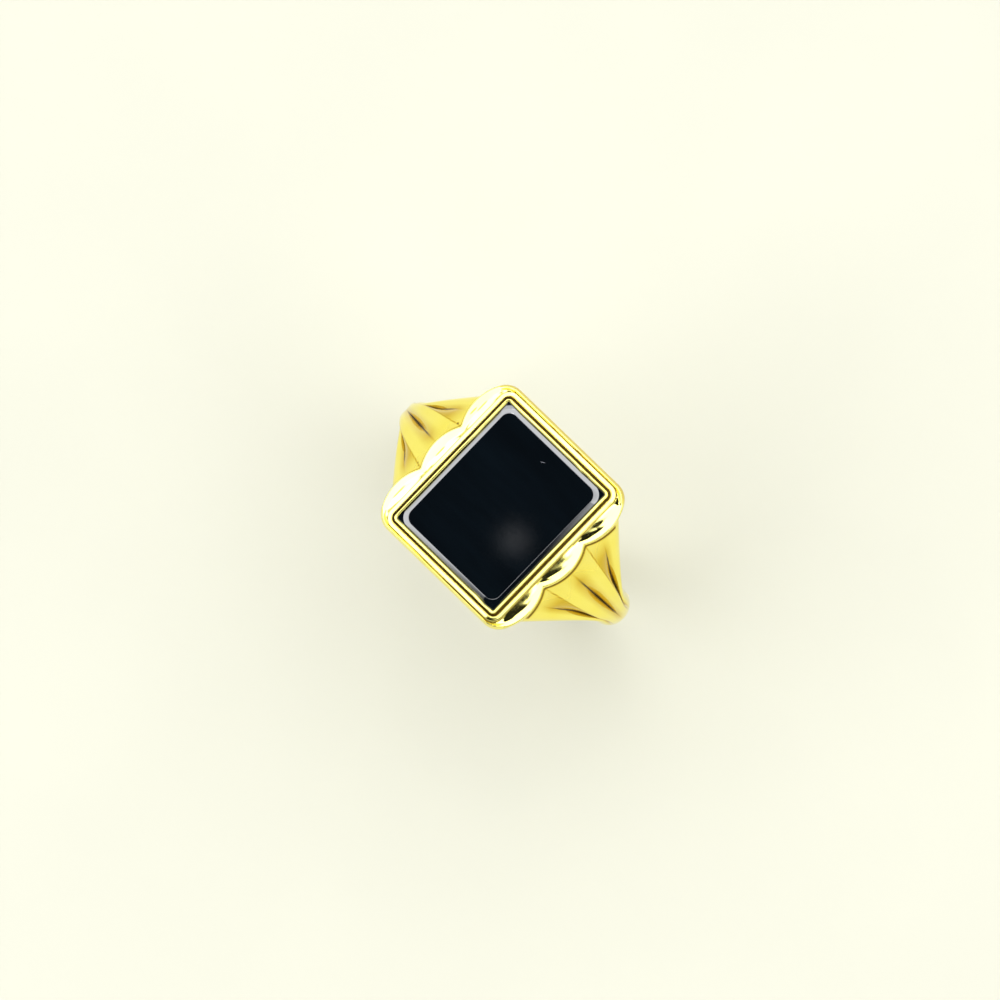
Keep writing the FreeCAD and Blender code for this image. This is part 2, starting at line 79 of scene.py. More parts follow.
def half_size(node):
    """A node's half length along X and along Y, and its lowest and highest Z, in millimetres."""
    low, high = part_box(node)
    return high.x / MM, high.y / MM, low.z / MM, high.z / MM


STONE_X, STONE_Y, STONE_BACK, STONE_TABLE = half_size("onyx_stone")
COLLET_X, COLLET_Y, COLLET_FOOT, LIP_CREST = half_size("bezel_collet")
STEP_X, STEP_Y, STEP_SEAT, STEP_TOP = half_size("step_frame")
_, PLATE_Y, PLATE_SEAT, PLATE_TOP = half_size("scalloped_plate")
GALLERY_X, GALLERY_Y, _, GALLERY_TOP = half_size("gallery")
_, SHANK_Y, SHANK_LOWEST, _ = half_size("shank")

BORE = 9.9
SEAM = 0.05
FIT_GAP = 0.01
EDGE_ROUND = 0.2
BEARER_LEDGE = 0.8
BACK_WINDOW_X = STONE_X - BEARER_LEDGE
BACK_WINDOW_Y = STONE_Y - BEARER_LEDGE

# --------------------------------------------------------------------------------------------------
# Meshes


def skin(name, rows, join_rows=False, close_rows=True, cap=False, painted_shade=None):
    """A grid of quads through rows of points, in millimetres; the painted shade holds a share for each point.
    """
    count = len(rows[0])
    vertices = [Vector(point) * MM for row in rows for point in row]
    faces = []
    for i in range(len(rows) if join_rows else len(rows) - 1):
        below, above = i * count, (i + 1) % len(rows) * count
        for j in range(count if close_rows else count - 1):
            k = (j + 1) % count
            faces.append((below + j, below + k, above + k, above + j))
    if cap:
        faces.append(tuple(range(count)))
        faces.append(tuple(reversed(range((len(rows) - 1) * count, len(rows) * count))))
    mesh = bpy.data.meshes.new(name)
    mesh.from_pydata(vertices, [], faces)
    values = [0.0] * len(vertices) if painted_shade is None else [value for row in painted_shade for value in row]
    # A point attribute holding the share of painted shade, which the gold's colour reads.
    attribute = mesh.attributes.new("painted_shade", "FLOAT", "POINT")
    attribute.data.foreach_set("value", values)
    edit = bmesh.new()
    edit.from_mesh(mesh)
    bmesh.ops.recalc_face_normals(edit, faces=edit.faces)
    edit.to_mesh(mesh)
    edit.free()
    mesh.shade_smooth()
    obj = bpy.data.objects.new(name, mesh)
    bpy.context.scene.collection.objects.link(obj)
    return obj


def finish_piece(obj, node, material, sharp):
    """The piece rides on the ring, stands for its CAD node and gets its finish.

    Edges that turn by more degrees than sharp stay crisp.
    """
    obj.data.set_sharp_from_angle(angle=math.radians(sharp))
    weighted = obj.modifiers.new("weighted_normals", "WEIGHTED_NORMAL")
    weighted.keep_sharp = True
    obj.data.materials.append(material)
    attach(obj, "root")
    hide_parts(node)


def rounded_stations(per_side, per_corner):
    """Stations round a rectangle: the corner centre's place, from -1 to 1 each way, and the way out."""
    stations = []
    corners = [(1, 1, 0), (-1, 1, 90), (-1, -1, 180), (1, -1, 270)]
    for index, (fx, fy, start) in enumerate(corners):
        for step in range(per_corner + 1):
            angle = math.radians(start + 90 * step / per_corner)
            stations.append((fx, fy, math.cos(angle), math.sin(angle)))
        next_x, next_y, _ = corners[(index + 1) % 4]
        angle = math.radians(start + 90)
        for step in range(1, per_side):
            share = step / per_side
            x = fx + (next_x - fx) * share
            y = fy + (next_y - fy) * share
            stations.append((x, y, math.cos(angle), math.sin(angle)))
    return stations


def on_rectangle(station, half_x, half_y, radius, z):
    """The point at a station of a rectangle with rounded corners."""
    fx, fy, cosine, sine = station
    return (fx * (half_x - radius) + radius * cosine, fy * (half_y - radius) + radius * sine, z)


# --------------------------------------------------------------------------------------------------
# Materials


def new_material(name):
    """An empty material, its node tree and its shader."""
    material = bpy.data.materials.new(name)
    material.use_nodes = True
    return material, material.node_tree, material.node_tree.nodes["Principled BSDF"]


def add(tree, kind, **settings):
    """A new node with its settings."""
    node = tree.nodes.new(kind)
    for key, value in settings.items():
        setattr(node, key, value)
    return node


def noise(tree, coordinates, scale, detail=3.0, roughness=0.5, stretch=None):
    """Noise at a scale in lumps per millimetre, stretched along the axes if asked."""
    mapping = add(tree, "ShaderNodeMapping")
    factor = scale / MM
    stretch = stretch or (1.0, 1.0, 1.0)
    mapping.inputs["Scale"].default_value = [factor * s for s in stretch]
    tree.links.new(coordinates, mapping.inputs["Vector"])
    texture = add(tree, "ShaderNodeTexNoise")
    texture.inputs["Scale"].default_value = 1.0
    texture.inputs["Detail"].default_value = detail
    texture.inputs["Roughness"].default_value = roughness
    tree.links.new(mapping.outputs["Vector"], texture.inputs["Vector"])
    return texture.outputs["Fac"]


def between(tree, value, low, high, start=0.0, end=1.0):
    """Maps a value from start..end to low..high, clamped."""
    node = add(tree, "ShaderNodeMapRange")
    node.inputs["From Min"].default_value = start
    node.inputs["From Max"].default_value = end
    node.inputs["To Min"].default_value = low
    node.inputs["To Max"].default_value = high
    tree.links.new(value, node.inputs["Value"])
    return node.outputs["Result"]


def mix_colours(tree, share, first, second):
    """A blend of two colours, each a tuple or a socket."""
    node = add(tree, "ShaderNodeMix", data_type="RGBA")
    tree.links.new(share, node.inputs[0])
    for socket, colour in ((node.inputs[6], first), (node.inputs[7], second)):
        if isinstance(colour, tuple):
            socket.default_value = (*colour, 1.0)
        else:
            tree.links.new(colour, socket)
    return node.outputs[2]


def combine(tree, first, second, operation="ADD"):
    """The sum of two values, or another operation on them; either may be a plain number."""
    node = add(tree, "ShaderNodeMath", operation=operation)
    for socket, value in zip(node.inputs, (first, second)):
        if isinstance(value, float):
            socket.default_value = value
        else:
            tree.links.new(value, socket)
    return node.outputs[0]


# Colours of painted shade on the gold: a deeper tint for shaded facets, and a near black for shadow lines.
PAINTED_SHADE_TINT = (0.70, 0.47, 0.03)
PAINTED_SHADOW_DARK = (0.036, 0.024, 0.022)


def gold(name, pale, deep, polish, scratch):
    """Yellow gold: a cloudy polish, fine random scratches, and painted shade in the crevices."""
    material, tree, shader = new_material(name)
    coordinates = add(tree, "ShaderNodeTexCoord").outputs["Object"]
    painted_shade = add(tree, "ShaderNodeAttribute", attribute_name="painted_shade").outputs["Fac"]
    cloud = noise(tree, coordinates, 0.35, 2.0)
    grain = noise(tree, coordinates, 9.0, 4.0, 0.6)
    tone = mix_colours(tree, between(tree, cloud, 0.0, 1.0, 0.3, 0.7), pale, deep)
    # Painted shade: the per-point shade share turns the gold to the deeper tint, then to near black.
    tone = mix_colours(tree, between(tree, painted_shade, 0.0, 0.9, 0.0, 0.3), tone, PAINTED_SHADE_TINT)
    tone = mix_colours(tree, between(tree, painted_shade, 0.0, 0.97, 0.3, 0.9), tone, PAINTED_SHADOW_DARK)
    tree.links.new(tone, shader.inputs["Base Color"])
    scratches_along = noise(tree, coordinates, 1.0, 5.0, 0.65, (1.2, 14.0, 3.0))
    scratches_across = noise(tree, coordinates, 1.0, 5.0, 0.65, (13.0, 1.5, 4.0))
    scratches = combine(tree, scratches_along, scratches_across, "MULTIPLY")
    dull = between(tree, scratches, polish, polish + 0.10, 0.2, 0.45)
    dull = combine(tree, dull, between(tree, cloud, 0.0, 0.05, 0.4, 0.7))
    dull = combine(tree, dull, between(tree, painted_shade, 0.0, 0.3, 0.3, 1.0))
    tree.links.new(dull, shader.inputs["Roughness"])
    bump = add(tree, "ShaderNodeBump")
    bump.inputs["Strength"].default_value = 1.0
    bump.inputs["Distance"].default_value = 0.0004 * MM
    fine_grain = between(tree, grain, 0.0, 0.25 * scratch)
    height = combine(tree, between(tree, scratches, 0.0, scratch), fine_grain)
    tree.links.new(height, bump.inputs["Height"])
    swell = add(tree, "ShaderNodeBump")
    swell.inputs["Strength"].default_value = 1.0
    swell.inputs["Distance"].default_value = 0.012 * MM
    tree.links.new(noise(tree, coordinates, 0.5, 1.0), swell.inputs["Height"])
    tree.links.new(swell.outputs["Normal"], bump.inputs["Normal"])
    tree.links.new(bump.outputs["Normal"], shader.inputs["Normal"])
    shader.inputs["Metallic"].default_value = 1.0
    return material


def scratch_on_table(tree, coordinates):
    """1 along a short slanting scratch in the stone's table, 0 elsewhere."""
    mapping = add(tree, "ShaderNodeMapping", vector_type="TEXTURE")
    mapping.inputs["Location"].default_value = (0.0, 4.42 * MM, STONE_TABLE * MM)
    mapping.inputs["Rotation"].default_value = (0.0, 0.0, math.radians(30.0))
    mapping.inputs["Scale"].default_value = (0.22 * MM, 0.022 * MM, 0.05 * MM)
    tree.links.new(coordinates, mapping.inputs["Vector"])
    distance = add(tree, "ShaderNodeVectorMath", operation="LENGTH")
    tree.links.new(mapping.outputs["Vector"], distance.inputs[0])
    return between(tree, distance.outputs["Value"], 1.0, 0.0, 0.5, 1.0)


def onyx(name):
    """Black onyx with the faintest smoky banding, polished like glass: hairlines, and one short scratch."""
    material, tree, shader = new_material(name)
    coordinates = add(tree, "ShaderNodeTexCoord").outputs["Object"]
    bands = noise(tree, coordinates, 0.25, 4.0, 0.55, (0.5, 2.2, 1.0))
    smoke = between(tree, bands, 0.0, 1.0, 0.35, 0.75)
    tone = mix_colours(tree, smoke, (0.0003, 0.0012, 0.0022), (0.0009, 0.0026, 0.0044))
    tone = mix_colours(tree, scratch_on_table(tree, coordinates), tone, (0.22, 0.23, 0.25))
    tree.links.new(tone, shader.inputs["Base Color"])
    hairs = noise(tree, coordinates, 1.0, 5.0, 0.7, (1.0, 16.0, 1.0))
    tree.links.new(between(tree, hairs, 0.02, 0.045, 0.45, 0.8), shader.inputs["Roughness"])
    bump = add(tree, "ShaderNodeBump")
    bump.inputs["Strength"].default_value = 1.0
    bump.inputs["Distance"].default_value = 0.0002 * MM
    tree.links.new(hairs, bump.inputs["Height"])
    tree.links.new(bump.outputs["Normal"], shader.inputs["Normal"])
    shader.inputs["IOR"].default_value = 2.2
    return material


def cement(name):
    """Setting cement: a matt, dusty dark film."""
    material, tree, shader = new_material(name)
    coordinates = add(tree, "ShaderNodeTexCoord").outputs["Object"]
    dust = noise(tree, coordinates, 4.0, 5.0, 0.6)
    tone = mix_colours(tree, dust, (0.05, 0.042, 0.03), (0.12, 0.1, 0.075))
    tree.links.new(tone, shader.inputs["Base Color"])
    tree.links.new(between(tree, dust, 0.6, 0.9), shader.inputs["Roughness"])
    bump = add(tree, "ShaderNodeBump")
    bump.inputs["Distance"].default_value = 0.01 * MM
    tree.links.new(dust, bump.inputs["Height"])
    tree.links.new(bump.outputs["Normal"], shader.inputs["Normal"])
    return material


def pale_floor(name):
    """Plain pale board with a faint cloudiness."""
    material, tree, shader = new_material(name)
    coordinates = add(tree, "ShaderNodeTexCoord").outputs["Object"]
    cloud = noise(tree, coordinates, 0.05, 4.0, 0.5)
    tone = mix_colours(tree, cloud, (0.462, 0.457, 0.382), (0.492, 0.487, 0.407))
    tree.links.new(tone, shader.inputs["Base Color"])
    shader.inputs["Roughness"].default_value = 0.75
    shader.inputs["Specular IOR Level"].default_value = 0.15
    return material


POLISHED = gold("polished_gold", (0.97, 0.865, 0.21), (0.96, 0.83, 0.15), 0.035, 1.0)
# Painted light: the head's gold is a paler copy of the polished gold, to look as pale as the brightly lit
# head.
HEAD = gold("head_gold", (0.97, 0.885, 0.275), (0.96, 0.865, 0.225), 0.03, 1.0)
SATIN = gold("gallery_gold", (0.95, 0.83, 0.25), (0.92, 0.78, 0.20), 0.10, 3.0)
SOLDER = gold("gold_solder", (0.90, 0.78, 0.34), (0.84, 0.70, 0.28), 0.10, 2.0)
ONYX = onyx("onyx")
CEMENT = cement("setting_cement")

# --------------------------------------------------------------------------------------------------
# Outline of the scalloped plate

NOTCH = (6.3, 2.16)
CORNER = (6.3, 6.3)
LOBE_CREST = 6.9
SMOOTHINGS = 5
CORNER_RADIUS = 1.55
CORNER_RISE = CORNER[1] - PLATE_Y + CORNER_RADIUS
OUTER_LOBE_RADIUS = (CORNER[1] - NOTCH[1]) / 2 * CORNER_RADIUS / CORNER_RISE
STRAIGHT_END = CORNER[0] - math.sqrt(CORNER_RADIUS**2 - CORNER_RISE**2)


def arc_between(first, second, radius, steps):
    """Points on the arc that bulges outwards from one point to another, both ends included."""
    ax, ay = first
    bx, by = second
    chord = math.hypot(bx - ax, by - ay)
    reach = math.sqrt(radius**2 - chord**2 / 4)
    middle = ((ax + bx) / 2, (ay + by) / 2)
    normal = ((by - ay) / chord, -(bx - ax) / chord)
    centre = (middle[0] + normal[0] * reach, middle[1] + normal[1] * reach)
    start = math.atan2(ay - centre[1], ax - centre[0])
    end = math.atan2(by - centre[1], bx - centre[0])
    return [
        (
            centre[0] + radius * math.cos(start + (end - start) * step / steps),
            centre[1] + radius * math.sin(start + (end - start) * step / steps),
        )
        for step in range(steps + 1)
    ]


def quarter_outline():
    """The outline from the straight edge's middle to the middle lobe's crest, and where its corner lies."""
    rise = LOBE_CREST - NOTCH[0]
    middle_radius = (NOTCH[1] ** 2 + rise**2) / (2 * rise)
    straight = [(STRAIGHT_END * step / 60, PLATE_Y) for step in range(61)]
    corner = arc_between(straight[-1], CORNER, CORNER_RADIUS, 26)
    lobe = arc_between(CORNER, NOTCH, OUTER_LOBE_RADIUS, 80)
    middle = arc_between(NOTCH, (NOTCH[0], -NOTCH[1]), middle_radius, 88)[:45]
    points = straight + corner[1:] + lobe[1:] + middle[1:]
    for _ in range(SMOOTHINGS):
        inner = [
            tuple((a + 2 * b + c) / 4 for a, b, c in zip(points[i - 1], points[i], points[i + 1]))
            for i in range(1, len(points) - 1)
        ]
        points = [points[0]] + inner + [points[-1]]
    return points, (len(straight) - 1, len(straight) + len(corner) - 2)


OUTLINE, (CORNER_START, CORNER_END) = quarter_outline()


def edge_across(along):
    """The outline's X at a distance along the finger."""
    along = abs(along)
    points = OUTLINE[CORNER_START:]
    if along >= points[0][1]:
        return points[0][0]
    low, high = 0, len(points) - 1
    while high - low > 1:
        middle = (low + high) // 2
        if points[middle][1] > along:
            low = middle
        else:
            high = middle
    (x0, y0), (x1, y1) = points[low], points[high]
    share = (y0 - along) / (y0 - y1) if y0 > y1 else 0.0
    return x0 + (x1 - x0) * share


# --------------------------------------------------------------------------------------------------
# Shank and shoulders

HEAD_ANGLE = 29.0
NARROW_ANGLE = 72.0
FLUTE_START, FLUTE_DEEPEST, FLUTE_END = 29.0, 52.0, 86.0
SHANK_START = 95.0
SHANK_ARC = 170
JOINT_ANGLE = SHANK_START - math.degrees(SEAM / BORE)
SHANK_CREST = -SHANK_LOWEST
SHOULDER_CREST = 13.15
SHOULDER_HALF = 6.35
SIDE_WALL = 0.55
FLUTE_DEPTH = 0.85
CENTRE_DEPTH = 0.80
POLISH_WIDTH = 0.03
SEAM_PROUD = 0.006


def blend(value, start, end, power=1.0):
    """0 up to the start, 1 from the end on, and a power curve between."""
    return min(max((value - start) / (end - start), 0.0), 1.0) ** power


def half_width_at(angle):
    """Half of the width along the finger, widest at the head."""
    share = max((NARROW_ANGLE - angle) / (NARROW_ANGLE - HEAD_ANGLE), 0.0)
    return SHANK_Y + (SHOULDER_HALF - SHANK_Y) * share**1.6


def crest_radius_at(angle):
    """Radius of the outer surface's middle line before the flutes are cut."""
    share = max((SHANK_START - angle) / (SHANK_START - HEAD_ANGLE), 0.0)
    return SHANK_CREST + (SHOULDER_CREST - SHANK_CREST) * share**1.3


def eased(share):
    """A share from 0 to 1, made to start and stop gently."""
    return share * share * (3.0 - 2.0 * share)


def flute_share_at(angle):
    """0 where the flutes begin and run out, 1 where they are deepest."""
    if angle < FLUTE_DEEPEST:
        return eased(blend(angle, FLUTE_START, FLUTE_DEEPEST))
    return eased(1.0 - blend(angle, FLUTE_DEEPEST, FLUTE_END))


def side_radius_at(angle):
    """Radius of the edge between the side wall and the fluted outer surface."""
    return BORE + SIDE_WALL * (crest_radius_at(angle) - BORE) / (SHANK_CREST - BORE)


def arris_at(angle):
    """Where the arris between the centre groove and a side flute lies, as a share of the half width."""
    return 0.34 + 0.20 * blend(angle, HEAD_ANGLE, 60.0, 1.4)


def flute_at(angle):
    """Where the bottom of a side flute lies, as a share of the half width."""
    return 0.58 + 0.04 * blend(angle, HEAD_ANGLE, 60.0, 2.0)


def crisp_radius(angle, share):
    """The fluted outer surface before polishing has softened its arrises."""
    share = min(abs(share), 1.0)
    crest = crest_radius_at(angle)
    side = side_radius_at(angle)
    to_shank = blend(angle, 35.0, JOINT_ANGLE)
    inner_power, outer_power = 4.0 - 2.0 * to_shank, 0.5 + 0.26 * to_shank
    envelope = side + (crest - side) * (1.0 - share**inner_power) ** outer_power
    arris = arris_at(angle)
    flute = flute_at(angle)
    depth = FLUTE_DEPTH * flute_share_at(angle)
    if share < arris:
        return envelope - CENTRE_DEPTH * flute_share_at(angle) * (1.0 - share / arris) ** 2.2
    if share < flute:
        return envelope - depth * (share - arris) / (flute - arris)
    return envelope - depth * ((1.0 - share) / (1.0 - flute)) ** 2.2


def outer_radius(angle, share):
    """The outer surface after polishing: an average over a narrow strip, except right at the side."""
    if abs(share) > 0.985:
        return crisp_radius(angle, share)
    strip = POLISH_WIDTH / half_width_at(angle)
    steps = (-1.0, -0.5, 0.0, 0.5, 1.0)
    return sum(crisp_radius(angle, share + step * strip) for step in steps) / len(steps)


def shares_across():
    """Shares of the half width, closer together at the arrises, in the flutes and at the sides."""
    strips = [(0.0, 0.30, 12), (0.30, 0.64, 26), (0.64, 0.9, 12)]
    shares = [start + (end - start) * step / steps for start, end, steps in strips for step in range(steps)]
    shares += [1.0 - 0.1 * (1.0 - step / 14) ** 2 for step in range(15)]
    return [-share for share in reversed(shares[1:])] + shares


def painted_shade_at(angle, share):
    """Painted shade: a little over the sheltered facets, more along the arrises and deep in the flutes."""
    along = abs(share) * half_width_at(angle)
    depth = flute_share_at(angle)

    def closeness(place, spread):
        return math.exp(-(((along - place * half_width_at(angle)) / spread) ** 2))

    place = abs(share)
    arris = arris_at(angle)
    flute = flute_at(angle)
    facet = blend(place, arris - 0.02, arris + 0.02) * (1.0 - blend(place, flute, flute + 0.12))
    hollow = 0.34 * max(facet, 1.0 - blend(place, 0.0, 0.5 * arris)) * min(depth * 3.0, 1.0)
    spread = 0.04 + 0.065 * depth
    bottoms = max(closeness(flute, spread), closeness(0.0, spread)) * min(depth * 1.8, 1.0)
    near_head = 0.6 if angle < 50.0 else 0.0
    line = 0.6 * closeness(arris, 0.04) * min(near_head + depth * 4.0, 1.0)
    return max(hollow, bottoms, line)


def hoop_columns():
    """The closed section of shoulder and shank: functions from the angle to a radius and a place along Y."""

    def outside(share):
        return lambda angle: (outer_radius(angle, share), share * half_width_at(angle))

    # Painted shade for each column: the flute marks outside, none on the walls and in the bore.
    def painted_shade_marks(share):
        return lambda angle: painted_shade_at(angle, share)

    def unshaded(_):
        return 0.0

    def wall_y(angle, radius):
        """The side wall leans in towards the bore, where the shoulder is wide."""
        half = half_width_at(angle)
        foot = SHANK_Y + (half - SHANK_Y) * 0.92
        share = (radius - BORE + 0.6) / (side_radius_at(angle) - BORE + 0.6)
        return foot + (half - foot) * share

    def wall(sign, step):
        def place(angle):
            top = side_radius_at(angle)
            radius = top + (BORE + EDGE_ROUND - top) * step
            return radius, sign * wall_y(angle, radius)

        return place

    def rounding(sign, turn):
        def place(angle):
            edge = wall_y(angle, BORE + EDGE_ROUND)
            lean = EDGE_ROUND * (1.0 - math.cos(turn))
            return BORE + EDGE_ROUND * (1.0 - math.sin(turn)), sign * (edge - lean)

        return place

    def bore(share):
        def place(angle):
            edge = wall_y(angle, BORE + EDGE_ROUND) - EDGE_ROUND
            return BORE, edge * share

        return place

    quarter = [math.pi / 2 * step / 5 for step in range(6)]
    columns = [(outside(share), painted_shade_marks(share)) for share in shares_across()]
    columns += [(wall(1, step / 4), unshaded) for step in range(1, 4)]
    columns += [(rounding(1, turn), unshaded) for turn in quarter]
    columns += [(bore(1.0 - 2.0 * step / 12), unshaded) for step in range(1, 12)]
    columns += [(rounding(-1, turn), unshaded) for turn in reversed(quarter)]
    columns += [(wall(-1, 1.0 - step / 4), unshaded) for step in range(1, 4)]
    return columns


def around(radius, along, angle, side=1):
    """The point at a radius and an angle round the ring, on one side or the other."""
    turn = math.radians(angle)
    return (side * radius * math.sin(turn), along, radius * math.cos(turn))


def start_angle(place, plane):
    """The angle at which a column leaves the head's end plane."""
    low, high = 15.0, 60.0
    for _ in range(40):
        middle = (low + high) / 2
        radius, _ = place(middle)
        if radius * math.sin(math.radians(middle)) < plane:
            low = middle
        else:
            high = middle
    return high


COLUMNS = hoop_columns()

# Each painted dark spot: its X and Y, and its radius.
DARK_SPOTS = [(-6.72, 2.12, 0.09), (-6.66, -2.1, 0.06), (-6.85, -2.0, 0.05)]


def plate_shadow(x, y):
    """Painted shadow along the foot of the scalloped plate, with a few painted dark spots by its notches."""
    depth, width = (0.95, 0.065) if x > 0 else (0.6, 0.09)
    shadow = depth * math.exp(-(((abs(x) - edge_across(y) - 0.03) / width) ** 2))
    shadow *= 1.0 - blend(abs(y), 4.8, 5.5)
    for spot_x, spot_y, size in DARK_SPOTS:
        shadow = max(shadow, 1.0 - blend(math.hypot(x - spot_x, y - spot_y), 0.5 * size, size))
    return shadow


def shoulder(name, node, side):
    """A fluted shoulder from the head's end plane to the shank; gives back its end at the head."""
    plane = GALLERY_X + SEAM
    starts = [start_angle(place, plane) for place, _ in COLUMNS]
    rows, painted_shades = [], []
    steps = 200
    for step in range(steps + 1):
        share = (step / steps) ** 1.1
        row, marks = [], []
        for (place, mark), start in zip(COLUMNS, starts):
            angle = start + (JOINT_ANGLE - start) * share
            radius, along = place(angle)
            x, y, z = around(radius, along, angle, side)
            row.append((x, y, min(z, PLATE_SEAT)))
            # Painted shade: the flute marks, and the painted shadow at the plate's foot on the top surface.
            on_top = radius > BORE + 1.0 and abs(along) < 0.85 * half_width_at(angle)
            marks.append(max(mark(angle), plate_shadow(x, y) if on_top else 0.0))
        rows.append(row)
        painted_shades.append(marks)
    obj = skin(name, rows, cap=True, painted_shade=painted_shades)
    finish_piece(obj, node, POLISHED, sharp=50.0)
    return rows[0]


head_end = shoulder("shoulder_right_fluted", "shoulder_right", 1)
shoulder("shoulder_left_fluted", "shoulder_left", -1)


def hoop_row(angle, proud=0.0):
    """The shank's section at an angle, standing proud on the outside if asked."""
    row = []
    for place, _ in COLUMNS:
        radius, along = place(JOINT_ANGLE)
        outward = proud if radius > BORE + EDGE_ROUND else 0.0
        row.append(around(radius + outward, along * (1.0 + outward / SHANK_Y), angle))
    return row


shank_rows = [hoop_row(SHANK_START + step) for step in range(SHANK_ARC + 1)]
finish_piece(skin("shank_hoop", shank_rows, cap=True), "shank", POLISHED, sharp=50.0)


def seam_pair(name, node, first, second):
    """A thin solder film between two rows, and its mirror image, as one piece."""
    mirror = [[(-x, y, z) for x, y, z in row] for row in (first, second)]
    right = skin(f"{name}_right", [first, second], cap=True)
    left = skin(f"{name}_left", mirror, cap=True)
    for obj in (right, left):
        finish_piece(obj, node, SOLDER, sharp=50.0)


shank_ends = [hoop_row(angle, SEAM_PROUD) for angle in (JOINT_ANGLE, SHANK_START)]
seam_pair("shank_seam", "shank_solder_seams", *shank_ends)
seam_pair("head_seam", "head_solder_seams", head_end, [(GALLERY_X, y, z) for _, y, z in head_end])

# --------------------------------------------------------------------------------------------------
# Gallery


def bore_height(x):
    """Z of the bore's surface over a place across the finger."""
    return math.sqrt(BORE**2 - x * x)


def gallery():
    """The block under the head: leaning side walls, a rounded foot at the bore, and the back window."""
    corner, inner_corner = 0.35, 0.1
    foot_y, foot_z = 5.75, 7.0
    lean = (GALLERY_Y - foot_y) / (GALLERY_TOP - foot_z)

    def wall_point(station, z):
        return on_rectangle(station, GALLERY_X, foot_y + (z - foot_z) * lean, corner, z)

    def column(station):
        """One upright slice, from the window up, over, down the wall and back along the bore."""
        seat_x, seat_y = COLLET_X + FIT_GAP, COLLET_Y + FIT_GAP
        pocket = on_rectangle(station, seat_x, seat_y, inner_corner, COLLET_FOOT)
        window = on_rectangle(station, BACK_WINDOW_X, BACK_WINDOW_Y, inner_corner, COLLET_FOOT)
        points = [window, pocket, (pocket[0], pocket[1], GALLERY_TOP)]
        bore_z = bore_height(wall_point(station, GALLERY_TOP)[0])
        rounding = 0.32 * station[3] ** 2
        for step in range(9):
            z = GALLERY_TOP + (bore_z + rounding - GALLERY_TOP) * step / 8
            points.append(wall_point(station, z))
        start = Vector(points[-1])
        edge = Vector(wall_point(station, bore_z))
        inward = Vector((window[0] - edge.x, window[1] - edge.y, 0))
        landing = edge + inward.normalized() * rounding
        landing.z = bore_height(landing.x)
        for step in range(1, 7):
            t = step / 6
            points.append(tuple(start * (1 - t) ** 2 + edge * 2 * t * (1 - t) + landing * t * t))
        last = Vector(points[-1])
        for step in range(1, 9):
            t = step / 8
            x = last.x + (window[0] - last.x) * t
            y = last.y + (window[1] - last.y) * t
            points.append((x, y, bore_height(x)))
        return points

    columns = [column(station) for station in rounded_stations(40, 6)]
    obj = skin("gallery_block", columns, join_rows=True)
    finish_piece(obj, "gallery", SATIN, sharp=30.0)


gallery()

# --------------------------------------------------------------------------------------------------
# Scalloped plate. The bare heights are Z in the ring's frame.

UNDER_STEP = 0.06

# Each painted reflection streak in the -X coves: its X, the Y of its middle, and its half length.
COVE_REFLECTION_STREAKS = [(-6.09, -0.22, 0.55), (-6.18, 4.3, 0.6), (-6.22, -4.45, 0.7), (-6.4, 3.6, 0.4)]


def apron_height(inset, total, along):
    """The lobed end, at a distance in from its edge: a rim, then a hand-filed cove up to the step frame."""
    rim = min(0.36 + 0.12 * blend(1.2 - total, 0.0, 0.6), total)
    lift = 0.08 * blend(1.2 - total, 0.0, 0.6)
    brink, crest, foot, top = 12.02, 12.27 + lift, 12.30 + lift, 12.53
    if inset < rim * 0.35:
        return brink + (crest - brink) * math.sqrt(1.0 - (1.0 - inset / rim / 0.35) ** 2)
    if inset < rim:
        return crest + (foot - crest) * (inset / rim - 0.35) / 0.65
    cove = min((inset - rim) / max(total - rim, 0.03), 1.0)
    file_mark = 0.008 * math.sin(2.6 * math.pi * cove + 1.3 * along) * math.sin(1.9 * along + 0.8)
    file_mark *= min((total - rim) / 0.3, 1.0) * math.sin(math.pi * cove)
    return foot + (top - foot) * (0.45 * cove + 0.55 * cove**2) + file_mark


def moulding_height(inset):
    """The straight edge: a rounded moulding with a quirk between it and the step frame."""
    brink, shelf, crest, quirk = 12.00, 12.34, 12.46, 12.38
    if inset < 0.15:
        return brink + (shelf - brink) * math.sin(inset / 0.15 * 1.2) / math.sin(1.2)
    if inset < 0.25:
        return shelf + (crest - shelf) * math.sqrt(1.0 - (1.0 - (inset - 0.15) / 0.10) ** 2)
    if inset < 0.32:
        return crest - (crest - quirk) * ((inset - 0.25) / 0.07) ** 1.6
    return quirk + (PLATE_TOP - quirk) * min((inset - 0.32) / 0.10, 1.0) ** 1.4


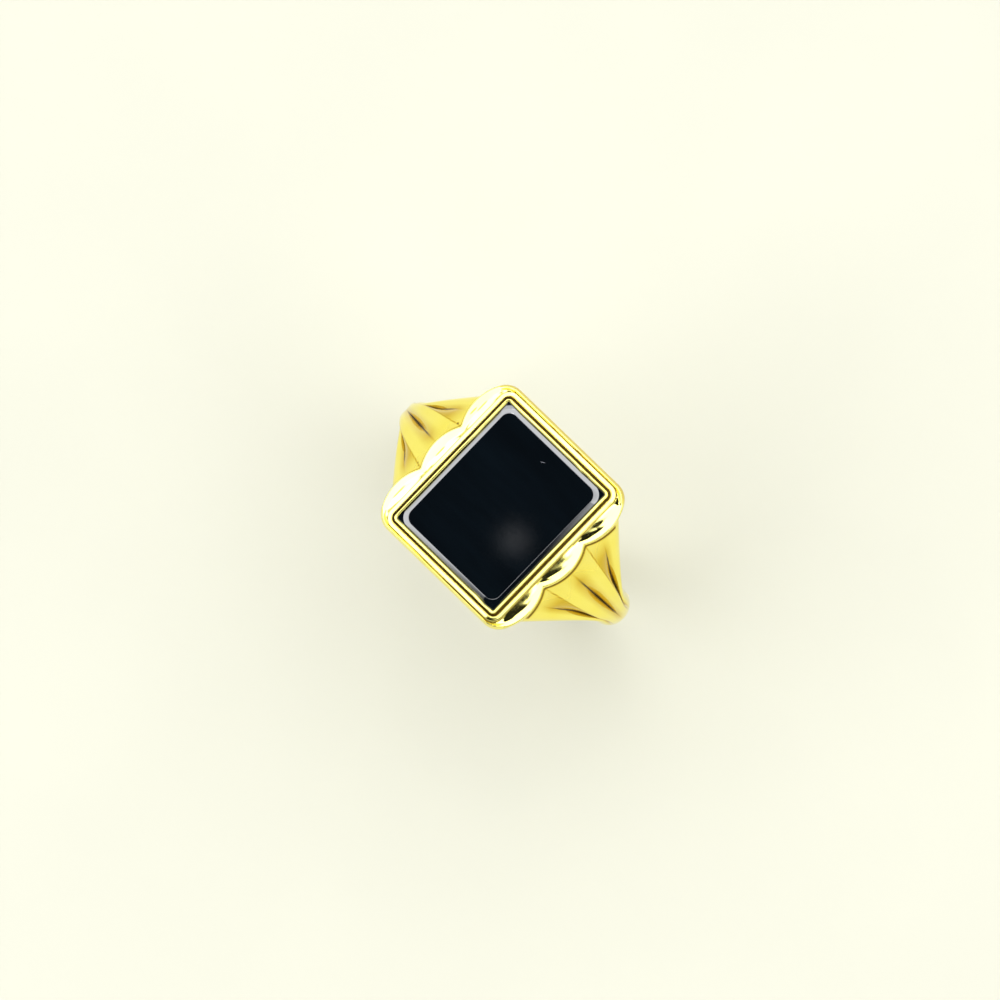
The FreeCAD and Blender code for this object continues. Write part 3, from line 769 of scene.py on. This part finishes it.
def plate():
    """The scalloped plate: columns from the collet's hole, out over the top, and down the edge."""
    count = len(OUTLINE) - 1
    inner_half_x, inner_half_y, inner_radius = STEP_X - UNDER_STEP, STEP_Y - UNDER_STEP, 0.8

    def inner_point(index):
        """The point under the step frame's edge that goes with a point of the outline."""
        x, y = OUTLINE[index]
        flat_x, flat_y = inner_half_x - inner_radius, inner_half_y - inner_radius
        if index <= CORNER_START:
            return flat_x * x / STRAIGHT_END, inner_half_y
        if index <= CORNER_END:
            turn = math.pi / 2 * (1.0 - (index - CORNER_START) / (CORNER_END - CORNER_START))
            return flat_x + inner_radius * math.cos(turn), flat_y + inner_radius * math.sin(turn)
        return inner_half_x, flat_y * y / CORNER[1]

    def distances(reach):
        """Distances out from the inner point: a few at the step frame's foot, then finer towards the edge."""
        foot = [0.0, 0.04, 0.06, 0.075, 0.09, 0.11, 0.14]
        shares = [1.0 - (1.0 - step / 32) ** 1.3 for step in range(1, 33)]
        return foot + [foot[-1] + (reach - foot[-1]) * share for share in shares]

    def painted_shade_marks(distance, reach, apron, x, y):
        """Painted shade and reflection: a dark line at the step frame's foot, a darker band of painted
        reflection on the +Y moulding, and dark painted reflection streaks in the -X coves.
        """
        broad = (0.06 if y < 0 else 0.03) * blend(x, -1.0, 2.0) * (1.0 - apron)
        line = 0.8 * max(1.0 - max(abs(distance - 0.07) - broad, 0.0) / 0.05, 0.0)
        painted_reflection_band = 0.22 * blend(distance, reach - 0.16, reach - 0.10) * (1.0 - apron)
        marks = [line, painted_reflection_band if y > 0 else 0.0]
        for streak_x, streak_y, half in COVE_REFLECTION_STREAKS:
            fade = 1.0 - blend(abs(y - streak_y), 0.4 * half, half)
            marks.append(0.75 * math.exp(-(((x - streak_x) / 0.035) ** 2)) * fade)
        return max(marks)

    def column(index, sign_x, sign_y):
        ex, ey = OUTLINE[index]
        ix, iy = inner_point(index)
        reach = math.hypot(ex - ix, ey - iy)
        hole_x = ix * (COLLET_X + FIT_GAP) / inner_half_x
        hole_y = iy * (COLLET_Y + FIT_GAP) / inner_half_y
        points = [(hole_x, hole_y, PLATE_SEAT), (hole_x, hole_y, PLATE_TOP)]
        marks = [0.0, 0.0]
        apron = eased(blend(index, 0.4 * CORNER_START + 0.6 * CORNER_END, CORNER_END + 4))
        for distance in distances(reach):
            x, y = ix + (ex - ix) * distance / reach, iy + (ey - iy) * distance / reach
            inset = max(reach - distance, 0.0)
            z = moulding_height(inset)
            z += (apron_height(inset, reach - 0.07, sign_x * sign_y * ey) - z) * apron
            points.append((x, y, z))
            marks.append(painted_shade_marks(distance, reach, apron, sign_x * x, sign_y * y))
        brink = points[-1][2]
        points.append((ex, ey, brink - (brink - PLATE_SEAT) * 0.5))
        points.append((ex, ey, PLATE_SEAT + 0.06))
        points.append((ex - 0.05 * (ex - ix), ey - 0.05 * (ey - iy), PLATE_SEAT))
        # Painted shade down the plate's outer edge, darkest at its foot.
        marks += [0.5, 1.0, 1.0]
        return [(sign_x * px, sign_y * py, pz) for px, py, pz in points], marks

    columns = [column(i, 1, 1) for i in range(count, -1, -1)]
    columns += [column(i, -1, 1) for i in range(1, count + 1)]
    columns += [column(i, -1, -1) for i in range(count - 1, -1, -1)]
    columns += [column(i, 1, -1) for i in range(1, count)]
    rows, painted_shades = zip(*columns)
    obj = skin("scalloped_plate_moulded", rows, join_rows=True, painted_shade=painted_shades)
    finish_piece(obj, "scalloped_plate", HEAD, sharp=50.0)


plate()

# --------------------------------------------------------------------------------------------------
# Step frame, collet and stone: nested rectangles, each level given by its distance out from the stone's side

STATIONS = rounded_stations(90, 12)


def nested(name, node, profile, painted_shade_marks, wobble=None):
    """A gold frame swept round the stone. The profile holds (distance out from its side, height) pairs."""
    rows, painted_shades = [], []
    for station in STATIONS:
        row = []
        for out, level in profile:
            radius = max(out + 0.22, 0.03)
            x, y, z = on_rectangle(station, STONE_X + out, STONE_Y + out, radius, level)
            if wobble:
                shift, lift = wobble(x, y, out, level)
                x -= shift * station[2]
                y -= shift * station[3]
                z += lift
            row.append((x, y, z))
        rows.append(row)
        painted_shades.append(painted_shade_marks(station))
    obj = skin(name, rows, join_rows=True, painted_shade=painted_shades)
    finish_piece(obj, node, HEAD, sharp=45.0)


def arc_profile(centre_out, centre_z, radius, start, end, steps):
    """Points of an arc in a profile; angles in degrees, 0 outwards and 90 up."""
    return [
        (
            centre_out + radius * math.cos(math.radians(start + (end - start) * step / steps)),
            centre_z + radius * math.sin(math.radians(start + (end - start) * step / steps)),
        )
        for step in range(steps + 1)
    ]


step_out = STEP_X - STONE_X
step_profile = [(0.31, STEP_SEAT), (0.31, STEP_TOP - 0.10), (0.31, STEP_TOP - 0.04)]
step_profile += [(0.318, STEP_TOP - 0.018), (0.335, STEP_TOP - 0.004), (0.36, STEP_TOP)]
step_profile += [(0.42, STEP_TOP - 0.008), (0.48, STEP_TOP - 0.019), (0.54, STEP_TOP - 0.033)]
step_profile += arc_profile(step_out - 0.09, STEP_TOP - 0.127, 0.09, 74, 0, 8)
step_profile += [(step_out, STEP_SEAT + 0.05), (step_out, STEP_SEAT)]


def step_painted_shade(station):
    """Painted shade down both walls, and none on top."""
    return [1.0, 0.8] + [0.0] * (len(step_profile) - 4) + [0.7, 1.0]


nested("step_frame_moulded", "step_frame", step_profile, step_painted_shade)

# Each slip: where it is, how wide, and how far the lip moved inwards.
SLIPS = [
    (3.2, -STONE_Y, 0.45, 0.05),
    (4.1, -STONE_Y, 0.25, -0.045),
    (4.7, -STONE_Y, 0.2, 0.04),
    (2.5, STONE_Y, 0.4, 0.05),
    (-3.6, STONE_Y, 0.6, 0.02),
    (STONE_X, -1.0, 0.5, 0.015),
    (-STONE_X, 2.0, 0.7, 0.015),
]


def burnish(x, y, out, z):
    """The upper lip's hand-rubbed unevenness: a slow waver, and the places where the burnisher slipped."""
    if z < 13.0 or out > 0.2:
        return 0.0, 0.0
    near = 1.0 - blend(out, -0.12, 0.2)
    shift = 0.008 * math.sin(1.7 * x + 0.6) * math.cos(1.3 * y - 0.4)
    for place_x, place_y, width, amount in SLIPS:
        shift += amount * math.exp(-(((x - place_x) ** 2 + (y - place_y) ** 2) / width**2))
    return shift * near, -0.25 * abs(shift) * near


lip = [(0.01, COLLET_FOOT), (0.01, 13.17), (-0.105, 13.175)]
lip += [(-0.12, 13.19), (-0.115, 13.23), (-0.095, 13.28), (-0.06, 13.325), (-0.02, 13.358), (0.02, 13.376)]
lip += [(0.045, LIP_CREST), (0.07, 13.374), (0.09, 13.36), (0.11, 13.33), (0.125, 13.28), (0.14, 13.20)]
lip += [(0.16, 13.10), (0.19, 13.01), (0.23, 12.95), (0.30, 12.91), (0.30, COLLET_FOOT)]


def lip_painted_shade(station):
    """Painted shade: a dark line at the lip's foot, wider along the -X side."""
    wide = [0.0] * 12 + [0.1, 0.5, 0.9, 1.0, 1.0, 1.0, 0.8, 0.0]
    fine = [0.0] * 12 + [0.0, 0.0, 0.1, 0.25, 0.7, 1.0, 0.8, 0.0]
    share = blend(-station[2], 0.3, 0.9)
    return [low + (high - low) * share for low, high in zip(fine, wide)]


nested("collet_burnished", "bezel_collet", lip, lip_painted_shade, wobble=burnish)


def stone():
    """The onyx: a sharp-cornered outline, a bevel, and a flat table with rounded corners."""
    ledge, bevel_width, bevel_depth, table_radius = 0.17, 0.50, 0.13, 0.75
    seat = STONE_TABLE - bevel_depth
    levels = [(0.0, STONE_BACK, 0.03), (0.0, seat - 0.02, 0.03), (-0.01, seat, 0.04)]
    levels += [(-0.05, seat, 0.5), (-ledge, seat, 0.92)]
    steps = 10
    for step in range(1, steps):
        share = step / steps
        rise = 1.0 - (1.0 - share) ** 1.1
        out = -ledge - (bevel_width - ledge) * share
        levels.append((out, seat + bevel_depth * rise, 0.92 - 0.19 * share))
    table = [(-bevel_width, table_radius), (-bevel_width - 0.02, table_radius)]
    table += [(-1.2, 0.9), (-2.6, 1.0), (-4.0, 0.9), (-4.9, 0.1)]
    levels += [(out, STONE_TABLE, radius) for out, radius in table]

    def corner_radius(station, out, radius):
        """At one corner the bevel runs right out to the point; at the others a black land is left."""
        if station[:2] == (-1, 1) and out >= -ledge:
            return min(radius, 0.12)
        return radius

    rows = [
        [
            on_rectangle(station, STONE_X + out, STONE_Y + out, corner_radius(station, out, radius), z)
            for station in STATIONS
        ]
        for out, z, radius in levels
    ]
    obj = skin("onyx_slab", rows, cap=True)
    finish_piece(obj, "onyx_stone", ONYX, sharp=20.0)


stone()

# --------------------------------------------------------------------------------------------------
# CAD pieces that stay


def keep(node, material):
    """A CAD piece that needs only its finish."""
    obj = frame["nodes"][node]
    for index in range(len(obj.data.materials)):
        obj.data.materials[index] = material


keep("stone_bearer", SATIN)
keep("setting_cement", CEMENT)

# --------------------------------------------------------------------------------------------------
# Floor, light and camera


def floor():
    """A wide plain floor that the back of the ring stands on."""
    size = 1500.0
    rows = [[(x, y, SHANK_LOWEST) for x in (-size, 0.0, size)] for y in (-size, 0.0, size)]
    obj = skin("floor", rows, close_rows=False)
    obj.data.materials.append(pale_floor("floor"))
    obj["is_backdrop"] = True


floor()

WINDOW_LIGHT = 2.8
WINDOW_SIDE = (-0.656, 0.755, 0.0)
OVERHEAD = (-0.096, -0.026, 1.0)
LAMP = (-0.0856, -0.0314, 1.0)

# Cosines of the angles from the lamp's middle to its edge, and to where it is fully bright.
LAMP_EDGE = math.cos(0.0045)
LAMP_CORE = math.cos(0.0028)
LAMP_LIGHT = 0.24


def softbox(name, towards, distance, width, height, power, colour):
    """A rectangular light that faces the head, from a direction in the ring's frame."""
    light = bpy.data.lights.new(name, "AREA")
    light.shape = "RECTANGLE"
    light.size = width * MM
    light.size_y = height * MM
    light.energy = power
    light.color = colour
    obj = bpy.data.objects.new(name, light)
    bpy.context.scene.collection.objects.link(obj)
    direction = Vector(towards).normalized()
    obj.location = (direction * distance + Vector((0, 0, 11))) * MM
    obj.rotation_mode = "QUATERNION"
    obj.rotation_quaternion = direction.to_track_quat("Z", "Y")
    obj.visible_camera = False


softbox("spark", (-0.30, 0.42, 0.85), 500.0, 60.0, 60.0, 0.10, (1.0, 0.98, 0.95))


def world():
    """A soft room: pale round the horizon, a wide bright window above, dark overhead and on the +X side."""
    scene_world = bpy.data.worlds.new("studio")
    bpy.context.scene.world = scene_world
    scene_world.use_nodes = True
    tree = scene_world.node_tree
    background = tree.nodes["Background"]
    direction = add(tree, "ShaderNodeTexCoord").outputs["Generated"]

    def along(vector):
        """How far the direction looked in points along a vector, from -1 to 1."""
        node = add(tree, "ShaderNodeVectorMath", operation="DOT_PRODUCT")
        tree.links.new(direction, node.inputs[0])
        node.inputs[1].default_value = Vector(vector).normalized()
        return node.outputs["Value"]

    def step(value, start, end, low=0.0, high=1.0):
        """A soft step between two values."""
        result = between(tree, value, low, high, start, end)
        result.node.interpolation_type = "SMOOTHSTEP"
        return result

    height = along((0, 0, 1))
    sideways = combine(tree, 1.0, combine(tree, height, height, "MULTIPLY"), "SUBTRACT")
    sideways = combine(tree, combine(tree, sideways, 0.0001, "MAXIMUM"), 0.5, "POWER")
    towards_window = combine(tree, along(WINDOW_SIDE), sideways, "DIVIDE")
    overhead = along(OVERHEAD)

    # The walls: pale at the horizon, greyer higher up.
    ramp = add(tree, "ShaderNodeValToRGB")
    ramp.color_ramp.interpolation = "EASE"
    stops = [
        (0.0, (1.0, 0.99, 0.875, 1)),
        (0.3, (0.96, 0.95, 0.88, 1)),
        (0.5, (0.60, 0.60, 0.60, 1)),
        (1.0, (0.50, 0.51, 0.52, 1)),
    ]
    elements = ramp.color_ramp.elements
    while len(elements) < len(stops):
        elements.new(0.5)
    for element, (place, colour) in zip(elements, stops):
        element.position = place
        element.color = colour
    tree.links.new(height, ramp.inputs["Fac"])

    # Dark: the side away from the window, a patch overhead, and two flags along the finger.
    away = step(towards_window, -0.64, -0.69)
    dark = combine(tree, step(height, 0.42, 0.52), step(height, 0.958, 0.940), "MULTIPLY")
    dark = combine(tree, dark, away, "MULTIPLY")
    dark = combine(tree, dark, step(overhead, 0.978, 0.988), "MAXIMUM")
    shade = between(tree, dark, 1.0, 0.03)
    aside = combine(tree, along((0, 1, 0)), sideways, "DIVIDE")
    aside = combine(tree, aside, aside, "MULTIPLY")
    flag = combine(tree, step(height, 0.20, 0.26), step(height, 0.46, 0.40), "MULTIPLY")
    flag = combine(tree, flag, step(aside, 0.45, 0.65), "MULTIPLY")
    shade = combine(tree, shade, between(tree, flag, 1.0, 0.15), "MULTIPLY")

    # Bright: the window, with a brighter pane across its middle, and a small lamp overhead.
    lit = combine(tree, step(height, 0.46, 0.56), step(overhead, 0.988, 0.975), "MULTIPLY")
    window = combine(tree, lit, combine(tree, 1.0, dark, "SUBTRACT"), "MULTIPLY")
    pane = combine(tree, step(height, 0.60, 0.68), step(height, 0.84, 0.78), "MULTIPLY")
    window = combine(tree, window, between(tree, pane, WINDOW_LIGHT, 1.3 * WINDOW_LIGHT), "MULTIPLY")
    lamp = step(along(LAMP), LAMP_EDGE, LAMP_CORE, 0.0, LAMP_LIGHT)
    window = combine(tree, window, lamp)

    scaled = add(tree, "ShaderNodeVectorMath", operation="SCALE")
    tree.links.new(ramp.outputs["Color"], scaled.inputs[0])
    tree.links.new(shade, scaled.inputs["Scale"])
    glow = add(tree, "ShaderNodeVectorMath", operation="SCALE")
    glow.inputs[0].default_value = (0.97, 0.98, 1.0)
    tree.links.new(window, glow.inputs["Scale"])
    total = add(tree, "ShaderNodeVectorMath", operation="ADD")
    tree.links.new(scaled.outputs["Vector"], total.inputs[0])
    tree.links.new(glow.outputs["Vector"], total.inputs[1])
    tree.links.new(total.outputs["Vector"], background.inputs["Color"])
    background.inputs["Strength"].default_value = 1.0


world()


def camera():
    """Nearly square on to the face, turned so that the shoulders run from upper left to lower right."""
    turn = math.radians(43.85)
    lean_x, lean_y = math.radians(5.5), math.radians(1.5)
    distance = 260.0
    frame_width = 72.7272727
    aside, upward = 0.0581818, 0.4472727
    back = Vector((math.tan(lean_x), math.tan(lean_y), 1.0)).normalized()
    across = Vector((math.cos(turn), math.sin(turn), 0.0))
    right = (across - back * across.dot(back)).normalized()
    up = back.cross(right)
    face = Vector((0.0, 0.0, STONE_TABLE))
    aim = face - right * aside + up * upward
    data = bpy.data.cameras.new("camera")
    data.sensor_width = 36.0
    data.lens = data.sensor_width * distance / frame_width
    data.clip_start = 0.01
    data.clip_end = 10.0
    obj = bpy.data.objects.new("camera", data)
    bpy.context.scene.collection.objects.link(obj)
    obj.location = (aim + back * distance) * MM
    obj.rotation_mode = "QUATERNION"
    basis = Matrix((right, up, back)).transposed()
    obj.rotation_quaternion = basis.to_quaternion()
    bpy.context.scene.camera = obj


camera()
bpy.context.scene.view_settings.view_transform = "Standard"

shown_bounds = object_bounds()
boxes = {"cad": cad_bounds, "visual": shown_bounds}
{name: [list(corner) for corner in box] for name, box in boxes.items()}
